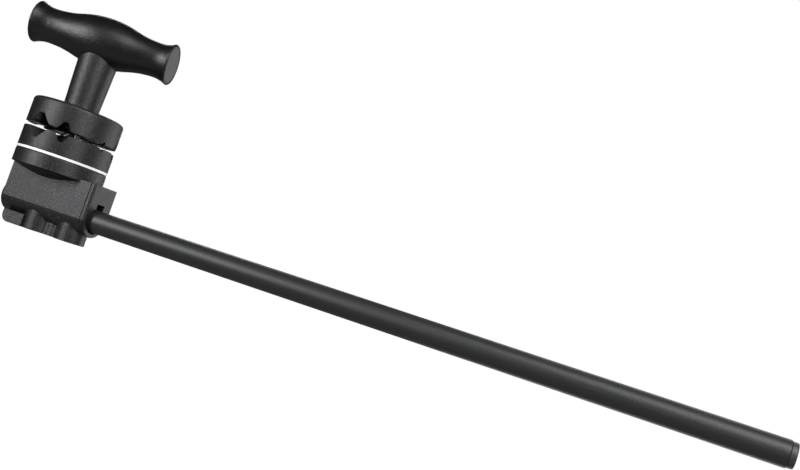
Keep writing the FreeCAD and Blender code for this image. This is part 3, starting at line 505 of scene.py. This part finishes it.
def free_stretches(name, lateral, depth):
    """The stretches along a groove's wall, at a depth, that no other groove and no rim cuts away."""
    reach = math.sqrt(max((jaw_radius - RIM_MARGIN) ** 2 - lateral ** 2, 0))
    place = GROOVE_ORDER.index(name)
    stretches = [(-reach, reach)]
    for step, side in ((-1, 1), (1, -1)):
        neighbour = GROOVE_ORDER[(place + step) % len(GROOVE_ORDER)]
        half = half_width(neighbour, depth)
        if half:
            middle = side * lines[neighbour][0]
            gap = (middle - half - WALL_MARGIN, middle + half + WALL_MARGIN)
            stretches = [piece for low, high in stretches
                         for piece in ((low, min(high, gap[0])), (max(low, gap[1]), high))]
    return [(low, high) for low, high in stretches if high - low > TOOTH_PITCH]


def make_teeth(name, face_height, into, body):
    """All the ridges on the walls of one jaw's four grooves, as one piece."""
    corners = []
    faces = []
    for groove, (distance, outwards, along) in lines.items():
        width, floor, depth = GROOVE_SHAPES[groove]
        for side in (-1, 1):
            top = Vector((distance + side * width / 2, face_height))
            bottom = Vector((distance + side * floor / 2, face_height + into * depth))
            slope = (bottom - top).normalized()
            inwards = Vector((-slope.y, slope.x))
            if inwards.x * side > 0:
                inwards.negate()
            run = (bottom - top).length - 2 * WALL_MARGIN
            count = int(run / TOOTH_PITCH)
            for number in range(count):
                middle = top + slope * (WALL_MARGIN + run * (number + 0.5) / count)
                section = (middle - slope * TOOTH_HALF_BASE - inwards * TOOTH_ROOT,
                           middle + slope * TOOTH_HALF_BASE - inwards * TOOTH_ROOT,
                           middle + inwards * TOOTH_RISE)
                if min(point.x for point in section) < CENTRE_HOLE:
                    continue
                for low, high in free_stretches(groove, middle.x, abs(middle.y - face_height)):
                    first = len(corners)
                    for end in (low, high):
                        for point in section:
                            spot = stud_axis + outwards * point.x + along * end
                            corners.append((spot.x, spot.y, point.y))
                    faces += [(first, first + 1, first + 2), (first + 3, first + 5, first + 4)]
                    faces += [(first + a, first + b, first + b + 3, first + a + 3)
                              for a, b in ((0, 2), (2, 1), (1, 0))]
    return make_piece(name, corners, faces, powder_coat, body)


lower_teeth = make_teeth("lower_jaw_teeth", lower_high.z, -1, "lower_clamp")
upper_teeth = make_teeth("upper_jaw_teeth", upper_low.z, 1, "upper_clamp")

# %% [markdown]
# ## The spring between the jaws
# A compression spring round the stud pushes the jaws apart when the handle is let off. Real ones
# have closed ends: the last turn at each end lies flat on its neighbour, and the pitch opens up in
# the middle. The height along the wire is therefore not a straight line, and easing it in and out
# gives those flat ends.

# %% Spring
WIRE_RADIUS = 0.6 * MM
SPRING_TURNS = 5.4
END_TURNS = 1.0
COIL_TOUCH = 1.02
STEPS_PER_TURN = 40
WIRE_SIDES = 12


def tube_along(points, radius, sides):
    """Corners and faces of a round tube along a path that winds about the upright axis."""
    corners = []
    faces = []
    for number, point in enumerate(points):
        before = points[max(number - 1, 0)]
        after = points[min(number + 1, len(points) - 1)]
        heading = (after - before).normalized()
        outwards = Vector((point.x - stud_axis.x, point.y, 0)).normalized()
        across = heading.cross(outwards).normalized()
        outwards = across.cross(heading)
        for side in range(sides):
            angle = 2 * math.pi * side / sides
            corners.append(point + (outwards * math.cos(angle) + across * math.sin(angle)) * radius)
    for ring in range(len(points) - 1):
        for side in range(sides):
            following = (side + 1) % sides
            faces.append((ring * sides + side, ring * sides + following,
                          (ring + 1) * sides + following, (ring + 1) * sides + side))
    faces.append(tuple(range(sides)))
    faces.append(tuple(range((len(points) - 1) * sides, len(points) * sides)))
    return corners, faces


def coil_height(turn, bottom, top):
    """Height of the wire after so many turns: flat end turns and an even pitch between."""
    closed = 2 * WIRE_RADIUS * COIL_TOUCH
    if turn < END_TURNS:
        return bottom + closed * turn / END_TURNS
    if turn > SPRING_TURNS - END_TURNS:
        return top - closed * (SPRING_TURNS - turn) / END_TURNS
    share = (turn - END_TURNS) / (SPRING_TURNS - 2 * END_TURNS)
    return bottom + closed + (top - bottom - 2 * closed) * share


def make_spring():
    """The coil, from the lower jaw's pocket to the upper jaw's."""
    mean_radius = (spring_high.y - spring_low.y) / 2 - WIRE_RADIUS
    bottom = spring_low.z + WIRE_RADIUS
    top = spring_high.z - WIRE_RADIUS
    steps = int(SPRING_TURNS * STEPS_PER_TURN)
    points = []
    for step in range(steps + 1):
        turn = SPRING_TURNS * step / steps
        angle = 2 * math.pi * turn
        points.append(Vector((stud_axis.x + mean_radius * math.cos(angle), mean_radius * math.sin(angle),
                              coil_height(turn, bottom, top))))
    corners, faces = tube_along(points, WIRE_RADIUS, WIRE_SIDES)
    spring = make_piece("coil_spring", corners, faces, spring_wire, None)
    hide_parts("jaw_spring")
    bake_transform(spring)
    return spring


coil_spring = make_spring()

# %% [markdown]
# ## The studio
# The object is shown against pure white, with no shadow and no horizon. Here the floor lies
# well below the arm, so it never touches the light that shapes the object, and both it and the
# surroundings read as the same white. Black things need care: they only show what they reflect, so
# the surroundings are dim for reflections and bright only for the lens.

# %% Surroundings and floor
FLOOR_DROP = 0.55
FLOOR_SIZE = 40.0
AMBIENT = 0.02
FLOOR_SHADE = 0.3


def make_surroundings():
    """White to the lens, and a dim even light to the object."""
    sky = Nodes(bpy.data.worlds.new("studio_white"), "Background")
    seen = sky.node("ShaderNodeLightPath", output="Is Camera Ray")
    bpy.context.scene.world = sky.end(color=grey(1.0), strength=seen * (1 - AMBIENT) + AMBIENT)


def make_floor():
    """A wide pale floor under everything."""
    pale = Nodes(bpy.data.materials.new("pale_floor"), "Principled BSDF")
    seen = pale.node("ShaderNodeLightPath", output="Is Camera Ray")
    half = FLOOR_SIZE / 2
    height = cad_box[0].z - FLOOR_DROP
    mesh = bpy.data.meshes.new("studio_floor")
    corners = [(x * half, y * half, height) for x, y in ((-1, -1), (1, -1), (1, 1), (-1, 1))]
    mesh.from_pydata(corners, [], [(0, 1, 2, 3)])
    mesh.materials.append(pale.end(base_color=grey(FLOOR_SHADE), roughness=0.9, emission_color=seen,
                                   emission_strength=1.0))
    floor = bpy.data.objects.new("studio_floor", mesh)
    bpy.context.scene.collection.objects.link(floor)
    return floor


make_surroundings()
studio_floor = make_floor()
print("floor at z", round(cad_box[0].z - FLOOR_DROP, 3), "m")

# %% [markdown]
# ## Soft lights
# Dark paint shows hardly anything but reflections, so each light is placed for the band that it
# draws. One softbox in front and to the left makes the broad band on the left of the jaws and the
# stem, and an even tone on the flat side of the body. One to the right of the lens makes the second
# band, and one over the arm's free end brightens the tube towards its tip. The last four stand
# behind: they light the back, and leave thin lighter rims in front. Bearings round the object say
# where a light stands: 0 is in front, positive is to the right. All are tinted slightly cool, as
# studio flash is.

# %% Lights
HEAD_CENTRE = Vector((stud_axis.x, 0, 0.06))
ARM_CENTRE = Vector(((cad_box[0].x + cad_box[1].x) / 2, 0, 0))
ARM_TIP = Vector((cad_box[1].x, 0, 0))
SOFTBOX_TINT = (0.965, 0.975, 1.0)


def add_softbox(name, target, bearing, elevation, distance, size, power):
    """An area light facing its target, seen from there at a bearing and an elevation in degrees."""
    turn = math.radians(bearing)
    rise = math.radians(elevation)
    towards = Vector((math.sin(turn) * math.cos(rise), -math.cos(turn) * math.cos(rise), math.sin(rise)))
    data = bpy.data.lights.new(name, "AREA")
    data.shape = "RECTANGLE"
    data.size = size[0]
    data.size_y = size[1]
    data.energy = power
    data.color = SOFTBOX_TINT
    light = bpy.data.objects.new(name, data)
    bpy.context.scene.collection.objects.link(light)
    light.location = target + towards * distance
    light.rotation_euler = (-towards).to_track_quat("-Z", "Y").to_euler()
    light.visible_camera = False
    print(name, "stands", distance, "m away and gives", power, "W")
    return light


add_softbox("left_softbox", HEAD_CENTRE, -30, 13, 1.0, (0.22, 0.60), 8.8)
add_softbox("right_softbox", HEAD_CENTRE, 60, 16, 1.0, (0.22, 0.50), 4.2)
add_softbox("overhead_softbox", ARM_TIP, 10, 52, 0.8, (0.8, 0.42), 6.0)
add_softbox("right_rim_softbox", HEAD_CENTRE, 138, 10, 0.9, (0.3, 0.6), 0.4)
add_softbox("back_softbox", HEAD_CENTRE, 212, 16, 1.1, (0.5, 0.8), 5.0)
add_softbox("upper_rim_softbox", ARM_TIP, 180, 30, 0.7, (0.7, 0.5), 2.0)
add_softbox("lower_rim_softbox", ARM_TIP, 180, -24, 0.7, (0.7, 0.8), 4.0)

bpy.context.scene.view_settings.view_transform = "Standard"
bpy.context.scene.view_settings.look = "None"
